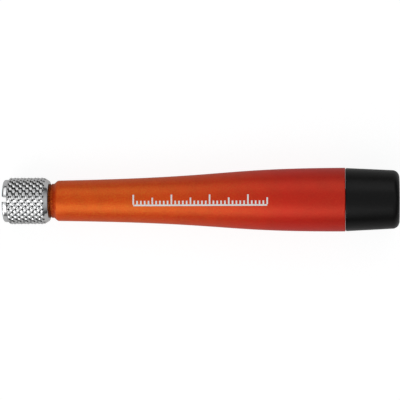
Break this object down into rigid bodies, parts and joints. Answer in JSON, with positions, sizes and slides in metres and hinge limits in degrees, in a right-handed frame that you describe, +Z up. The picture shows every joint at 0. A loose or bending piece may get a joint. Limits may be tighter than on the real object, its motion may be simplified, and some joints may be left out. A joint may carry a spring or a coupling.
{
  "type": "pin vise",
  "caption": "Hand-held pin vise: knurled nut closing a slotted collet on small drill shanks, slim tapered metal handle, and a black end cap that swivels on a ball bearing.",
  "frame": {"origin": "middle of the turning axis, halfway between the nose face and the end of the cap", "axes": "+X along the turning axis from the nose to the cap, +Z up when the tool lies on a table, +Y completes the right-handed set"},
  "size_m": [0.104, 0.0166, 0.0166],
  "materials": {
    "chrome": "bright plated, diamond knurl",
    "steel": "ground",
    "anodised_aluminium": "satin anodised, orange at the nut fading to red at the cap",
    "brass": "turned",
    "cage_nylon": "moulded",
    "black_plastic": "moulded, matte"
  },
  "bodies": {
    "handle": {"handle_body": "anodised_aluminium", "collet_holder": "steel", "end_plug": "brass", "pivot_screw": "steel", "spacer_washer": "steel", "bearing_inner_race": "steel"},
    "collet": {"collet": "steel"},
    "chuck_nut": {"chuck_nut": "chrome", "nose_ring": "chrome"},
    "cap": {"swivel_cap": "black_plastic", "cap_end_disc": "black_plastic", "bearing_outer_race": "steel", "retaining_ring": "steel"},
    "bearing_cage": {"bearing_cage": "cage_nylon", "bearing_ball_1": "steel", "bearing_ball_2": "steel", "bearing_ball_3": "steel", "bearing_ball_4": "steel", "bearing_ball_5": "steel", "bearing_ball_6": "steel", "bearing_ball_7": "steel"}
  },
  "joints": [
    {"name": "collet_slide", "type": "slide", "parent": "handle", "child": "collet", "axis": [-1, 0, 0], "range_m": [0, 0.006]},
    {"name": "nut_turn", "type": "hinge", "parent": "collet", "child": "chuck_nut", "pos_m": [-0.0435, 0, 0], "axis": [-1, 0, 0], "range_deg": [0, 2160]},
    {"name": "cap_swivel", "type": "hinge", "parent": "handle", "child": "cap", "pos_m": [0.042, 0, 0], "axis": [1, 0, 0], "continuous": true},
    {"name": "cage_orbit", "type": "hinge", "parent": "handle", "child": "bearing_cage", "pos_m": [0.042, 0, 0], "axis": [1, 0, 0], "continuous": true}
  ],
  "couplings": [
    {"joint": "collet_slide", "follows": "nut_turn", "m_per_rad": 0.00015915},
    {"joint": "cage_orbit", "follows": "cap_swivel", "ratio": 0.5985}
  ]
}
